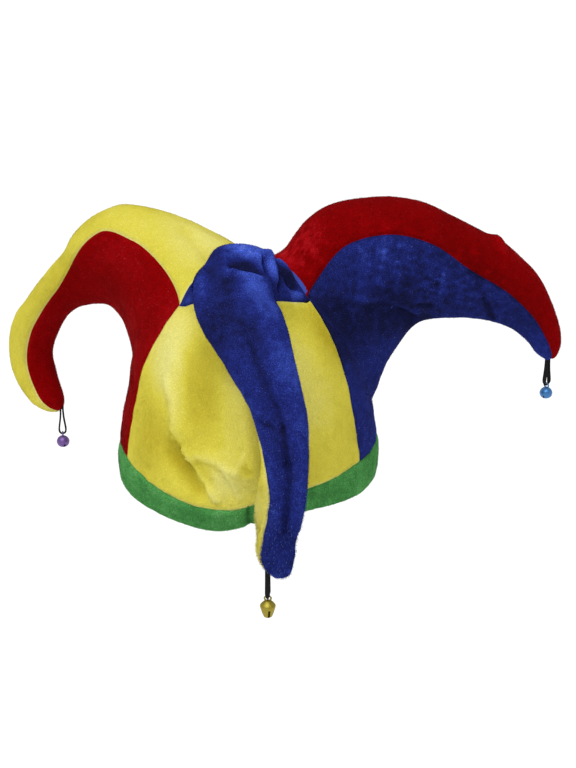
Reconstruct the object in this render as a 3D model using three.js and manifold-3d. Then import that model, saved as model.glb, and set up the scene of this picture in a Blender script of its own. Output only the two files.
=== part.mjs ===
// Plush jester party hat with three drooping horns and a jingle bell on a cord loop at each tip.
// Millimetres, +Z up, the front horn towards -Y, the origin in the middle of the head opening.
import * as THREE from "three";
import { mergeVertices } from "three/addons/utils/BufferGeometryUtils.js";
import ManifoldModule from "manifold-3d";

// Driving sizes
const RIM_HALF_WIDTH = 90;
const RIM_HALF_DEPTH = 101;
const CLOTH_WALL = 2.4;
const BAND_WALL = 3.2;
const SEAM_GAP = 0.36;
const BAND_GAP = 0.6;
const APEX_HEIGHT = 153;
const FOLD_CURVE = 1.5;
const SECTION_EGG = 0.35;
const SEAM_CURVE = 2.2;
const TIP_ROUND = 0.07;
const TIP_HOLE = 0.3;
const CORD_DIAMETER = 1.2;
const LOOP_DROP = 18.5;
const BELL_RADIUS = 5.2;
const BELL_WALL = 0.6;
const BELL_SLOT = 1.1;
const EYE_INSIDE = 1.2;
const EYE_WIRE = 0.9;
const CORD_PLAY = 0.3;

// Mesh density
const HORN_ROWS = 20;
const ROW_CROWDING = 1.25;
const CROWN_ROWS = 8;
const PANEL_COLUMNS = { front: 22, left: 14, right: 14 };
const STRIP_COLUMNS = 8;
const BAND_STEPS = 46;

// Crown outline: share of the rim size at each height
const CROWN = [
  { height: -10, share: 0.985 },
  { height: 20, share: 0.99 },
  { height: 45, share: 0.952 },
  { height: 70, share: 0.9 },
  { height: 90, share: 0.86 },
  { height: 105, share: 0.8 },
  { height: 120, share: 0.71 },
  { height: 131, share: 0.62 },
  { height: 142, share: 0.5 },
];

// Rim band: lower and upper edge, and how far the lower edge tucks in, by azimuth from the front
const RIM = [
  { azimuth: -180, low: 0, top: 24, tuck: 0 },
  { azimuth: -120, low: 0, top: 24, tuck: 0 },
  { azimuth: -85, low: 0, top: 25, tuck: 0 },
  { azimuth: -60, low: -2, top: 23, tuck: 1 },
  { azimuth: -35, low: -4, top: 17, tuck: 4 },
  { azimuth: -6, low: -7.8, top: 9.8, tuck: 6 },
  { azimuth: 12, low: -1, top: 15, tuck: 6 },
  { azimuth: 34, low: 3, top: 21, tuck: 5 },
  { azimuth: 58, low: 1, top: 24, tuck: 2 },
  { azimuth: 90, low: 0, top: 25, tuck: 0 },
  { azimuth: 130, low: 0, top: 24, tuck: 0 },
  { azimuth: 180, low: 0, top: 24, tuck: 0 },
];

// Crown seams: azimuth at the band, azimuth and height where the seam meets the strips,
// and how flat the strips' own seam runs on from there to the apex
const SEAMS = {
  frontLeft: { foot: -61, top: -46, height: 131, flat: 4.5 },
  frontRight: { foot: 66, top: 58.5, height: 133.5, flat: 4.5 },
  back: { foot: 180, top: 180, height: 124, flat: 1.4 },
};

// Horns: each row is one section, with the ridge and the keel as distance out and height up,
// the half width, the share of the depth at which the strip ends, and the sway of ridge and keel
const HORNS = {
  front: {
    azimuth: 8,
    from: "frontLeft",
    to: "frontRight",
    armpit: 114,
    blend: 0.2,
    sections: [
      { out: 6, up: 153, keelOut: 70, keelUp: 114, half: 34, seam: 0.7, sway: 0, keelSway: 0 },
      { out: 28, up: 166, keelOut: 78, keelUp: 120, half: 28, seam: 0.6, sway: -6, keelSway: -6 },
      { out: 57, up: 176, keelOut: 86, keelUp: 119, half: 26, seam: 0.62, sway: -8, keelSway: -8 },
      { out: 92, up: 157, keelOut: 94, keelUp: 108, half: 26, seam: 0.65, sway: -10.5, keelSway: 3 },
      { out: 118, up: 132, keelOut: 101, keelUp: 90, half: 21, seam: 0.55, sway: 4.5, keelSway: 8 },
      { out: 135, up: 102, keelOut: 106, keelUp: 70, half: 16, seam: 0.56, sway: 18, keelSway: 14 },
      { out: 143, up: 71, keelOut: 111, keelUp: 49, half: 13, seam: 0.4, sway: 25, keelSway: 12 },
      { out: 146, up: 40, keelOut: 115, keelUp: 27, half: 11, seam: 0.27, sway: 27, keelSway: 6 },
      { out: 144, up: 10, keelOut: 118, keelUp: 4, half: 10.5, seam: 0.3, sway: 21.5, keelSway: 7.2 },
      { out: 137, up: -22, keelOut: 124, keelUp: -15, half: 11, seam: 0.4, sway: 19, keelSway: 8 },
    ],
  },
  left: {
    azimuth: -112,
    from: "back",
    to: "frontLeft",
    armpit: 62,
    blend: 0.2,
    sections: [
      { out: 8, up: 153, keelOut: 84, keelUp: 62, half: 40, seam: 0.2, sway: 0, keelSway: 0 },
      { out: 37, up: 167, keelOut: 88, keelUp: 74, half: 37, seam: 0.15, sway: 0, keelSway: 0 },
      { out: 69, up: 174, keelOut: 97, keelUp: 93, half: 30, seam: 0.16, sway: 0, keelSway: 0 },
      { out: 101, up: 176, keelOut: 108, keelUp: 102, half: 25, seam: 0.18, sway: 0, keelSway: 0 },
      { out: 127, up: 162, keelOut: 122, keelUp: 102, half: 22, seam: 0.36, sway: 0, keelSway: 0 },
      { out: 147, up: 137, keelOut: 138, keelUp: 97, half: 19, seam: 0.54, sway: 0, keelSway: 0 },
      { out: 169, up: 112, keelOut: 150, keelUp: 87, half: 17, seam: 0.6, sway: 0, keelSway: 0 },
      { out: 189, up: 86, keelOut: 160, keelUp: 70, half: 16, seam: 0.62, sway: 0, keelSway: 0 },
      { out: 196.5, up: 55, keelOut: 164, keelUp: 52, half: 15.5, seam: 0.62, sway: 0, keelSway: 0 },
      { out: 185, up: 27, keelOut: 160, keelUp: 33, half: 14, seam: 0.6, sway: 0, keelSway: 0 },
      { out: 165, up: 10, keelOut: 153, keelUp: 18, half: 11, seam: 0.55, sway: 0, keelSway: 0 },
    ],
  },
  right: {
    azimuth: 116,
    from: "frontRight",
    to: "back",
    armpit: 36,
    blend: 0.14,
    sections: [
      { out: 8, up: 147, keelOut: 89, keelUp: 36, half: 36, seam: 0.2, sway: 0, keelSway: 0 },
      { out: 26, up: 151, keelOut: 95, keelUp: 48, half: 33, seam: 0.14, sway: 0, keelSway: 0 },
      { out: 52, up: 178.5, keelOut: 102, keelUp: 66, half: 31, seam: 0.15, sway: 0, keelSway: 0 },
      { out: 90, up: 185, keelOut: 115, keelUp: 84, half: 27, seam: 0.19, sway: 0, keelSway: 0 },
      { out: 125, up: 180, keelOut: 131, keelUp: 93, half: 24, seam: 0.29, sway: 0, keelSway: 0 },
      { out: 158, up: 163, keelOut: 152, keelUp: 93, half: 21, seam: 0.42, sway: 0, keelSway: 0 },
      { out: 192, up: 143, keelOut: 178, keelUp: 89, half: 19, seam: 0.53, sway: 0, keelSway: 0 },
      { out: 219, up: 117, keelOut: 200, keelUp: 79, half: 17, seam: 0.62, sway: 0, keelSway: 0 },
      { out: 234, up: 84, keelOut: 215, keelUp: 66, half: 15, seam: 0.65, sway: 0, keelSway: 0 },
      { out: 239, up: 54, keelOut: 226, keelUp: 50, half: 11, seam: 0.6, sway: 0, keelSway: 0 },
    ],
  },
};

// Folds of the cloth: a line between two points, how far it reaches to each side, and its height,
// where less than nothing is a valley
const FOLDS = [
  { from: [-25, -44, 164], to: [-19, -68, 166], reach: 9, height: -5 },
  { from: [23, -60, 167], to: [30, -75, 148], reach: 8, height: -5 },
  { from: [-1, -65, 171], to: [16, -64, 167], reach: 8, height: -4 },
  { from: [16, -111, 138], to: [34, -131, 93], reach: 7, height: -2 },
  { from: [34, -131, 93], to: [42, -139, 60], reach: 7, height: -2.5 },
  { from: [42, -139, 60], to: [41, -140, 10], reach: 6, height: -2.5 },
  { from: [-38, -72, 98], to: [-34, -84, 62], reach: 9, height: 3 },
  { from: [-24, -76, 104], to: [-22, -86, 74], reach: 11, height: -3 },
  { from: [-36, -87, 44], to: [-20, -95, 30], reach: 9, height: -4.5 },
  { from: [-24, -91, 44], to: [4, -98, 37], reach: 8, height: 2.5 },
  { from: [14, -95, 40], to: [10, -86, 90], reach: 10, height: 7 },
  { from: [88, 10, 121], to: [116, 47, 97], reach: 9, height: -3 },
  { from: [-138, 35, 133], to: [-131, 30, 129], reach: 12, height: -2.5 },
  { from: [169, 75, 146], to: [174, 71, 141], reach: 9, height: 2 },
];

// Cord loops: route in the loop's own plane from one end to the middle, as half width and share of
// the drop; the other half mirrors it
const LOOP_ROUTE = [
  { side: 0.9, drop: 0 },
  { side: 1.0, drop: 0.15 },
  { side: 1.2, drop: 0.29 },
  { side: 1.6, drop: 0.47 },
  { side: 2.1, drop: 0.65 },
  { side: 2.4, drop: 0.8 },
  { side: 2.15, drop: 0.92 },
  { side: 1.25, drop: 0.982 },
  { side: 0, drop: 1 },
];

const COLOURS = {
  yellow: "#e0cf3f",
  red: "#8c0610",
  blue: "#222a86",
  green: "#3f8f47",
  black: "#0d0d10",
  gold: "#c9a040",
  purple: "#7a4a9a",
  skyBlue: "#4f9fd0",
};

// Colours of each horn's panel, strip and bell
const DRESS = {
  front: { panel: COLOURS.yellow, strip: COLOURS.blue, bell: COLOURS.gold },
  left: { panel: COLOURS.red, strip: COLOURS.yellow, bell: COLOURS.purple },
  right: { panel: COLOURS.blue, strip: COLOURS.red, bell: COLOURS.skyBlue },
};

// Where each loop leaves its horn: sideways and down from the tip, and its turn about the vertical
const LOOPS = {
  front: { shift: -2, below: 0.95, turn: 92 },
  left: { shift: 0, below: 0.25, turn: 10 },
  right: { shift: 0, below: 0.15, turn: 45 },
};

// Small helpers
const { degToRad, lerp, smoothstep } = THREE.MathUtils;

function curveValue(values, at) {
  const last = values.length - 1;
  const index = Math.min(Math.max(Math.floor(at), 0), last - 1);
  const t = at - index;
  const b = values[index];
  const c = values[index + 1];
  const a = index > 0 ? values[index - 1] : 2 * b - c;
  const d = index + 2 <= last ? values[index + 2] : 2 * c - b;
  const slopes = [(c - a) / 2, (d - b) / 2];
  const bend = [2 * (b - c) + slopes[0] + slopes[1], 3 * (c - b) - 2 * slopes[0] - slopes[1]];
  return b + t * (slopes[0] + t * (bend[1] + t * bend[0]));
}

function tableValue(rows, key, at, column) {
  let index = 0;
  while (index < rows.length - 2 && rows[index + 1][key] < at) index += 1;
  const t = (at - rows[index][key]) / (rows[index + 1][key] - rows[index][key]);
  return curveValue(rows.map((row) => row[column]), index + Math.min(Math.max(t, 0), 1));
}

function wrapAzimuth(azimuth) {
  return ((((azimuth + 180) % 360) + 360) % 360) - 180;
}

function rimEdge(azimuth, column) {
  return tableValue(RIM, "azimuth", wrapAzimuth(azimuth), column);
}

// Crown surface
function crownPoint(azimuth, height) {
  const share = tableValue(CROWN, "height", height, "share");
  const angle = degToRad(azimuth);
  const x = RIM_HALF_WIDTH * share * Math.sin(angle);
  const y = -RIM_HALF_DEPTH * share * Math.cos(angle);
  return new THREE.Vector3(x, y, height);
}

function unwrapAfter(start, azimuth) {
  return azimuth < start ? azimuth + 360 : azimuth;
}

function panelAzimuths(horn, key, u) {
  const start = horn.from === "back" ? SEAMS.back[key] - 360 : SEAMS[horn.from][key];
  const end = unwrapAfter(start, SEAMS[horn.to][key]);
  return { start, end, at: lerp(start, end, (u + 1) / 2) };
}

function foldAzimuth(horn, u) {
  const { start, end } = panelAzimuths(horn, "top", u);
  return u < 0 ? lerp(horn.azimuth, start, -u) : lerp(horn.azimuth, end, u);
}

function foldHeight(horn, u) {
  const top = SEAMS[u < 0 ? horn.from : horn.to].height;
  return lerp(horn.armpit, top, Math.abs(u) ** FOLD_CURVE);
}

function foldPoint(horn, u) {
  return crownPoint(foldAzimuth(horn, u), foldHeight(horn, u));
}

function crownPanelPoint(horn, u, climb) {
  const foot = panelAzimuths(horn, "foot", u).at;
  const azimuth = lerp(foot, foldAzimuth(horn, u), climb ** SEAM_CURVE);
  return crownPoint(azimuth, lerp(rimEdge(foot, "top"), foldHeight(horn, u), climb));
}

// Horn surface
function hornSection(horn, along) {
  const at = along * (horn.sections.length - 1);
  const value = (column) => curveValue(horn.sections.map((row) => row[column]), at);
  const angle = degToRad(horn.azimuth);
  const outward = new THREE.Vector3(Math.sin(angle), -Math.cos(angle), 0);
  const aside = new THREE.Vector3(Math.cos(angle), Math.sin(angle), 0);
  const place = (out, up, sway) =>
    new THREE.Vector3(0, 0, up).addScaledVector(outward, out).addScaledVector(aside, sway);
  const ridge = place(value("out"), value("up"), value("sway"));
  const keel = place(value("keelOut"), value("keelUp"), value("keelSway"));
  const past = Math.max(along - 1 + TIP_ROUND, 0) / TIP_ROUND;
  const round = Math.max(Math.sqrt(1 - past * past), TIP_HOLE);
  const middle = ridge.clone().lerp(keel, 0.5);
  ridge.lerpVectors(middle, ridge, round);
  keel.lerpVectors(middle, keel, round);
  return { ridge, keel, aside, half: value("half") * round, seam: value("seam"), round };
}

function eggPoint(section, angle) {
  const depth = (1 - Math.cos(angle)) / 2;
  const side = section.half * Math.sin(angle) * (1 + SECTION_EGG * Math.cos(angle));
  return section.ridge.clone().lerp(section.keel, depth).addScaledVector(section.aside, side);
}

function seamAngle(section) {
  return Math.acos(1 - 2 * section.seam);
}

function junction(name) {
  return crownPoint(SEAMS[name].top, SEAMS[name].height);
}

function stripRoot(horn, u) {
  const seam = u < 0 ? horn.from : horn.to;
  const corner = junction(seam);
  const point = new THREE.Vector3().lerp(corner, Math.abs(u));
  return point.setZ(lerp(APEX_HEIGHT, corner.z, Math.abs(u) ** SEAMS[seam].flat));
}

function stripPoint(horn, along, u) {
  const section = hornSection(horn, along);
  const point = eggPoint(section, u * seamAngle(section));
  return stripRoot(horn, u).lerp(point, smoothstep(along, 0, horn.blend));
}

function hornPanelPoint(horn, along, u) {
  const section = hornSection(horn, along);
  const edge = seamAngle(section);
  const angle = Math.sign(u || 1) * lerp(Math.PI, edge, Math.abs(u));
  return foldPoint(horn, u).lerp(eggPoint(section, angle), smoothstep(along, 0, horn.blend));
}

// Grids of outer points
function spread(count, make) {
  return Array.from({ length: count + 1 }, (_, index) => make(index / count));
}

function hornRows(make) {
  return spread(HORN_ROWS, (share) => make(1 - (1 - share) ** ROW_CROWDING));
}

function wallAt(section) {
  return CLOTH_WALL * lerp(0.35, 1, section.round);
}

function panelGrid(horn, count) {
  const columns = (make) => spread(count, (share) => make(2 * share - 1));
  const crown = spread(CROWN_ROWS, (climb) => ({
    points: columns((u) => crownPanelPoint(horn, u, climb)),
    wall: CLOTH_WALL,
  }));
  const sides = hornRows((along) => ({
    points: columns((u) => hornPanelPoint(horn, along, u)),
    wall: wallAt(hornSection(horn, along)),
  }));
  return { rows: [...crown, ...sides.slice(1)], turned: false };
}

function stripGrid(horn) {
  const rows = hornRows((along) => ({
    points: spread(STRIP_COLUMNS, (share) => stripPoint(horn, along, 2 * share - 1)),
    wall: wallAt(hornSection(horn, along)),
  }));
  return { rows, turned: true };
}

// Folds push the cloth in or out along its normal
function foldShift(point) {
  const nearest = new THREE.Vector3();
  return FOLDS.reduce((shift, fold) => {
    const line = new THREE.Line3(new THREE.Vector3(...fold.from), new THREE.Vector3(...fold.to));
    line.closestPointToPoint(point, true, nearest);
    return shift + fold.height * Math.exp(-((nearest.distanceTo(point) / fold.reach) ** 2));
  }, 0);
}

function foldGrid(grid, normals) {
  const rows = grid.rows.map(({ points, wall }) => ({
    points: points.map((point) =>
      point.clone().addScaledVector(normals.get(pointKey(point)), foldShift(point)),
    ),
    wall,
  }));
  return { rows, turned: grid.turned };
}

// Cloth walls: normals are shared across seams so that neighbours keep one mitre, and both sides
// of a seam split their wall along the same diagonal
const SEAM_ORDER = new THREE.Vector3(0.37, 0.11, 1);

function pointKey(point) {
  return point.toArray().map((value) => Math.round(value * 100)).join(",");
}

function gridQuads(grid) {
  const quads = [];
  for (let row = 0; row + 1 < grid.rows.length; row += 1) {
    for (let column = 0; column + 1 < grid.rows[row].points.length; column += 1) {
      const quad = [
        [row, column],
        [row, column + 1],
        [row + 1, column + 1],
        [row + 1, column],
      ];
      quads.push(grid.turned ? quad.reverse() : quad);
    }
  }
  return quads;
}

function sharedNormals(grids) {
  const normals = new Map();
  for (const grid of grids) {
    for (const quad of gridQuads(grid)) {
      const corners = quad.map(([row, column]) => grid.rows[row].points[column]);
      const across = corners[2].clone().sub(corners[0]);
      const facing = across.cross(corners[3].clone().sub(corners[1]));
      for (const corner of corners) {
        const key = pointKey(corner);
        if (!normals.has(key)) normals.set(key, new THREE.Vector3());
        normals.get(key).add(facing);
      }
    }
  }
  for (const normal of normals.values()) normal.normalize();
  return normals;
}

function insetGrid(points) {
  const lastRow = points.length - 1;
  const lastColumn = points[0].length - 1;
  const towards = (from, to) => to.clone().sub(from).setLength(SEAM_GAP / 2);
  return points.map((line, row) =>
    line.map((point, column) => {
      const moved = point.clone();
      if (row === 0) moved.add(towards(point, points[1][column]));
      if (row === lastRow) moved.add(towards(point, points[row - 1][column]));
      if (column === 0) moved.add(towards(point, line[1]));
      if (column === lastColumn) moved.add(towards(point, line[column - 1]));
      return moved;
    }),
  );
}

function clothSolid(grid, normals) {
  const outer = grid.rows.map((row) => row.points);
  const inner = grid.rows.map((row) =>
    row.points.map((point) => point.clone().addScaledVector(normals.get(pointKey(point)), -row.wall)),
  );
  const sides = [insetGrid(outer), insetGrid(inner)];
  const width = outer[0].length;
  const total = outer.length * width;
  const index = (side, row, column) => side * total + row * width + column;
  const faces = [];
  const addQuad = (a, b, c, d) => faces.push(a, b, c, a, c, d);
  for (const quad of gridQuads(grid)) {
    addQuad(...quad.map(([row, column]) => index(0, row, column)));
    addQuad(...quad.map(([row, column]) => index(1, row, column)).reverse());
  }
  const rank = ([row, column]) => outer[row][column].dot(SEAM_ORDER);
  for (const [from, to] of borderSteps(outer.length, width, grid.turned)) {
    const wall = [index(1, ...from), index(1, ...to), index(0, ...to), index(0, ...from)];
    if (rank(from) < rank(to)) wall.push(wall.shift());
    addQuad(...wall);
  }
  const geometry = new THREE.BufferGeometry();
  const positions = sides.flat(2).flatMap((point) => point.toArray());
  geometry.setAttribute("position", new THREE.Float32BufferAttribute(positions, 3));
  geometry.setIndex(faces);
  return geometry;
}

function borderSteps(height, width, turned) {
  const ring = [];
  for (let column = 0; column < width - 1; column += 1) ring.push([0, column]);
  for (let row = 0; row < height - 1; row += 1) ring.push([row, width - 1]);
  for (let column = width - 1; column > 0; column -= 1) ring.push([height - 1, column]);
  for (let row = height - 1; row > 0; row -= 1) ring.push([row, 0]);
  return ring.map((from, at) => {
    const step = [from, ring[(at + 1) % ring.length]];
    return turned ? step.reverse() : step;
  });
}

// Rim band: a closed profile carried round the rim
function bandProfile(azimuth) {
  const low = rimEdge(azimuth, "low");
  const top = rimEdge(azimuth, "top");
  const tuck = rimEdge(azimuth, "tuck");
  const middle = (low + top) / 2;
  const edge = BAND_WALL * 0.3;
  return [
    { height: top - BAND_GAP, inset: 0 },
    { height: top - BAND_GAP, inset: CLOTH_WALL },
    { height: middle, inset: tuck * 0.4 + BAND_WALL },
    { height: low + edge, inset: tuck + BAND_WALL },
    { height: low, inset: tuck + BAND_WALL - edge },
    { height: low, inset: tuck + edge },
    { height: low + edge, inset: tuck },
    { height: middle, inset: tuck * 0.4 - 0.6 },
  ];
}

function bandGeometry() {
  const sides = bandProfile(0).length;
  const positions = [];
  const faces = [];
  for (let step = 0; step < BAND_STEPS; step += 1) {
    const azimuth = (360 * step) / BAND_STEPS;
    for (const { height, inset } of bandProfile(azimuth)) {
      const point = crownPoint(azimuth, height);
      const reach = Math.hypot(point.x, point.y);
      point.multiply(new THREE.Vector3(1 - inset / reach, 1 - inset / reach, 1));
      positions.push(...point.toArray());
    }
    const next = (step + 1) % BAND_STEPS;
    for (let side = 0; side < sides; side += 1) {
      const other = (side + 1) % sides;
      const corners = [step * sides + side, step * sides + other, next * sides + other, next * sides + side];
      faces.push(corners[0], corners[2], corners[1], corners[0], corners[3], corners[2]);
    }
  }
  const geometry = new THREE.BufferGeometry();
  geometry.setAttribute("position", new THREE.Float32BufferAttribute(positions, 3));
  geometry.setIndex(faces);
  return geometry;
}

// Cord loops and bells
function loopGeometry() {
  const half = LOOP_ROUTE.map(({ side, drop }) => new THREE.Vector3(side, 0, -LOOP_DROP * drop));
  const mirrored = half.slice(0, -1).map((point) => new THREE.Vector3(-point.x, 0, point.z));
  const route = new THREE.CatmullRomCurve3([...half, ...mirrored.reverse()]);
  const outline = new THREE.Shape(
    spread(8, (turn) => {
      const angle = 2 * Math.PI * turn;
      const radius = CORD_DIAMETER / 2;
      return new THREE.Vector2(radius * Math.cos(angle), radius * Math.sin(angle));
    }).slice(0, -1),
  );
  return new THREE.ExtrudeGeometry(outline, { steps: 18, extrudePath: route, bevelEnabled: false });
}

const { Manifold, Mesh } = await ManifoldModule().then((module) => {
  module.setup();
  return module;
});

function toManifold(geometry) {
  const bare = new THREE.BufferGeometry();
  bare.setAttribute("position", geometry.getAttribute("position").clone());
  bare.setIndex(geometry.getIndex());
  const merged = mergeVertices(bare, 1e-4);
  return new Manifold(
    new Mesh({
      numProp: 3,
      vertProperties: new Float32Array(merged.getAttribute("position").array),
      triVerts: new Uint32Array(merged.getIndex().array),
    }),
  );
}

function fromManifold(solid) {
  const mesh = solid.getMesh();
  const geometry = new THREE.BufferGeometry();
  geometry.setAttribute("position", new THREE.Float32BufferAttribute(mesh.vertProperties, 3));
  geometry.setIndex([...mesh.triVerts]);
  return geometry;
}

function bellGeometry() {
  const eyeCentre = -(EYE_INSIDE - CORD_DIAMETER / 2 - CORD_PLAY);
  const eyeRadius = EYE_INSIDE + EYE_WIRE / 2;
  const bellCentre = eyeCentre - eyeRadius - BELL_RADIUS + EYE_WIRE / 3;
  const ball = (radius) => new THREE.SphereGeometry(radius, 10, 6).rotateX(Math.PI / 2);
  const eye = new THREE.TorusGeometry(eyeRadius, EYE_WIRE / 2, 5, 10).rotateY(Math.PI / 2);
  const slot = (turn) =>
    new THREE.BoxGeometry(BELL_SLOT, 3 * BELL_RADIUS, BELL_RADIUS)
      .translate(0, 0, -BELL_RADIUS * 0.65)
      .rotateZ(turn);
  const hole = (turn) =>
    new THREE.CylinderGeometry(BELL_SLOT, BELL_SLOT, 3 * BELL_RADIUS, 6)
      .translate(0, 0, -BELL_RADIUS * 0.15)
      .rotateZ(turn);
  const cuts = [0, Math.PI / 2].flatMap((turn) => [slot(turn), hole(turn)]);
  const shell = cuts.reduce(
    (solid, cut) => solid.subtract(toManifold(cut)),
    toManifold(ball(BELL_RADIUS)).subtract(toManifold(ball(BELL_RADIUS - BELL_WALL))),
  );
  return fromManifold(shell.translate(0, 0, bellCentre).add(toManifold(eye.translate(0, 0, eyeCentre))));
}

// Assembly
function material(colour, roughness, metalness = 0) {
  return new THREE.MeshStandardMaterial({ color: new THREE.Color(colour), roughness, metalness });
}

function addNode(parent, name, geometry, finish) {
  const node = new THREE.Mesh(geometry, finish);
  node.name = name;
  parent.add(node);
}

function loopTop(side) {
  const { keel, aside } = hornSection(HORNS[side], 1);
  const { shift, below } = LOOPS[side];
  const top = keel.clone().addScaledVector(aside, shift);
  return top.setZ(top.z - below);
}

const hat = new THREE.Group();
hat.name = "jester_hat";
const cloth = Object.entries(HORNS).flatMap(([side, horn]) => [
  { name: `crown_${side}`, colour: DRESS[side].panel, grid: panelGrid(horn, PANEL_COLUMNS[side]) },
  { name: `strip_${side}`, colour: DRESS[side].strip, grid: stripGrid(horn) },
]);
const smoothNormals = sharedNormals(cloth.map(({ grid }) => grid));
for (const piece of cloth) piece.grid = foldGrid(piece.grid, smoothNormals);
const foldedNormals = sharedNormals(cloth.map(({ grid }) => grid));
for (const { name, colour, grid } of cloth) {
  addNode(hat, name, clothSolid(grid, foldedNormals), material(colour, 0.9));
}
addNode(hat, "band", bandGeometry(), material(COLOURS.green, 0.9));
for (const [side, dress] of Object.entries(DRESS)) {
  const loop = new THREE.Group();
  loop.position.copy(loopTop(side));
  loop.rotation.z = degToRad(LOOPS[side].turn);
  addNode(loop, `cord_${side}`, loopGeometry(), material(COLOURS.black, 0.8));
  const bell = bellGeometry().translate(0, 0, -LOOP_DROP);
  addNode(loop, `bell_${side}`, bell, material(dress.bell, 0.3, 1));
  hat.add(loop);
}

export default hat;
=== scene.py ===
"""Looks of the plush jester hat: velour panels with their pile, the rim band, cord loops and bells.

Metres, +Z up, the front horn towards -Y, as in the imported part. The tables below are in
millimetres and degrees, and MM brings their points into the frame.
"""

import math
from collections import namedtuple

import bpy
import numpy as np
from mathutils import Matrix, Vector


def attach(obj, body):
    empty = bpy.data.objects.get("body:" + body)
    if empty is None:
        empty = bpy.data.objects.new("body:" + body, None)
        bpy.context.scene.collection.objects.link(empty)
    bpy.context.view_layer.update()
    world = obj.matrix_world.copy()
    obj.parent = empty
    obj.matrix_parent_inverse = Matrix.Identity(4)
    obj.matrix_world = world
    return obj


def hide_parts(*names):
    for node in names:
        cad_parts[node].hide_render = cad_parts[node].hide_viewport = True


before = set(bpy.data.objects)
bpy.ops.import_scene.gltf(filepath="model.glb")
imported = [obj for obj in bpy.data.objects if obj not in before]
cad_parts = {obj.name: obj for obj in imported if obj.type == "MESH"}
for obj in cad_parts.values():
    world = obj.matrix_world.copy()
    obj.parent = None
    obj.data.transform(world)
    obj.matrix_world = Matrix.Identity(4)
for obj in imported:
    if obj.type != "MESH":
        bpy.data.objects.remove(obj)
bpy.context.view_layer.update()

MM = 0.001

# Camera, at the photograph's angle, and what stands round the hat, in metres
CAMERA_AZIMUTH = 6
CAMERA_ELEVATION = 20
CAMERA_DISTANCE = 1.25
CAMERA_TARGET = Vector((0.0274, 0, 0.063))
CAMERA_LENS = 85.5
FLOOR_HEIGHT = -0.9
FLOOR_HALF = 12
FLOOR_GREY = 0.94
KEY_FROM = (-0.15, -0.6, 1.15)
KEY_STRENGTH = 2.3
KEY_WIDTH = 45
SKY_STRENGTH = 0.55

# Cloth: its sizes and curves, the seams, how far folds fade at a piece's foot and off the cloth, and
# over how many rows the wall thins at a tip
RIM_HALF_WIDTH = 90
RIM_HALF_DEPTH = 101
CLOTH_WALL = 2.4
BAND_WALL = 3.2
APEX_HEIGHT = 153
FOLD_CURVE = 1.5
SECTION_EGG = 0.35
SEAM_CURVE = 2.2
TIP_ROUND = 0.07
TIP_CLOSED = 0.04
SEAM_DEPTH = 1.1
SEAM_REACH = 1.7
PUCKER_REACH = 8
ROOT_FADE = 6
FOLD_DEPTH = 12
TIP_THIN_ROWS = 12
TIP_THINNEST = 0.1

# The groove where the band's ends are sewn together: place from the middle, half width, depth
BAND_SEAM = 12
BAND_SEAM_WIDTH = 1.1
BAND_SEAM_DEPTH = 2.6

# Lumps of the cloth, the band and the pile: size, height, seed
Lumps = namedtuple("Lumps", "size height seed")
PUCKERS = Lumps(7, 0.2, 11)
CLOTH_BROAD = Lumps(30, 0.4, 12)
CLOTH_FINE = Lumps(12, 0.1, 13)
BAND_BROAD = Lumps(22, 0.3, 31)
BAND_FINE = Lumps(8, 0.1, 32)
WEAR_CLOUDS = Lumps(40, 0.06, 15)
WEAR_MOTTLES = Lumps(5, 1, 16)
NAP_TURN = Lumps(22, 1.1, 21)
NAP_LEAN = Lumps(14, 0.5, 22)
LUMP_WAVES = 28
LUMP_SPREAD = 3.2

# Mesh density, how far the bend between crown and horn is eased, and how finely the two sides of a
# seam are matched
HORN_ROWS = 200
CROWN_ROWS = 60
PANEL_COLUMNS = 168
STRIP_COLUMNS = 128
ROW_SAMPLES = 1500
ROW_LINES = 9
BACK_STEP = 3
BAND_STEPS = 240
BAND_FINENESS = 3
BAND_OUTER_ROWS = 9
END_CROWDING = 0.45
BEND_ROWS = 11
BEND_PASSES = 90
BEND_PULL = 0.5
BEND_HOLD = 8
MATCHES_PER_MM = 50

# Crown outline: height, share of the rim size
CROWN = (
    (-10, 0.985),
    (20, 0.99),
    (45, 0.952),
    (70, 0.9),
    (90, 0.86),
    (105, 0.8),
    (120, 0.71),
    (131, 0.62),
    (142, 0.5),
)

# Rim band: azimuth from the front, lower edge, upper edge, tuck of the lower edge
RIM = (
    (-180, 0, 24, 0),
    (-120, 0, 24, 0),
    (-85, 0, 25, 0),
    (-60, -2, 23, 1),
    (-35, -4, 17, 4),
    (-6, -7.8, 9.8, 6),
    (12, -1, 15, 6),
    (34, 3, 21, 5),
    (58, 1, 24, 2),
    (90, 0, 25, 0),
    (130, 0, 24, 0),
    (180, 0, 24, 0),
)

# Crown seams: azimuth at the band, azimuth and height where the seam meets the strips,
# and how flat the strips' own seam runs on from there to the apex
Seam = namedtuple("Seam", "foot top height flat")
SEAMS = {
    "front_left": Seam(-61, -46, 131, 4.5),
    "front_right": Seam(66, 58.5, 133.5, 4.5),
    "back_left": Seam(-180, -180, 124, 1.4),
    "back_right": Seam(180, 180, 124, 1.4),
}

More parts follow.
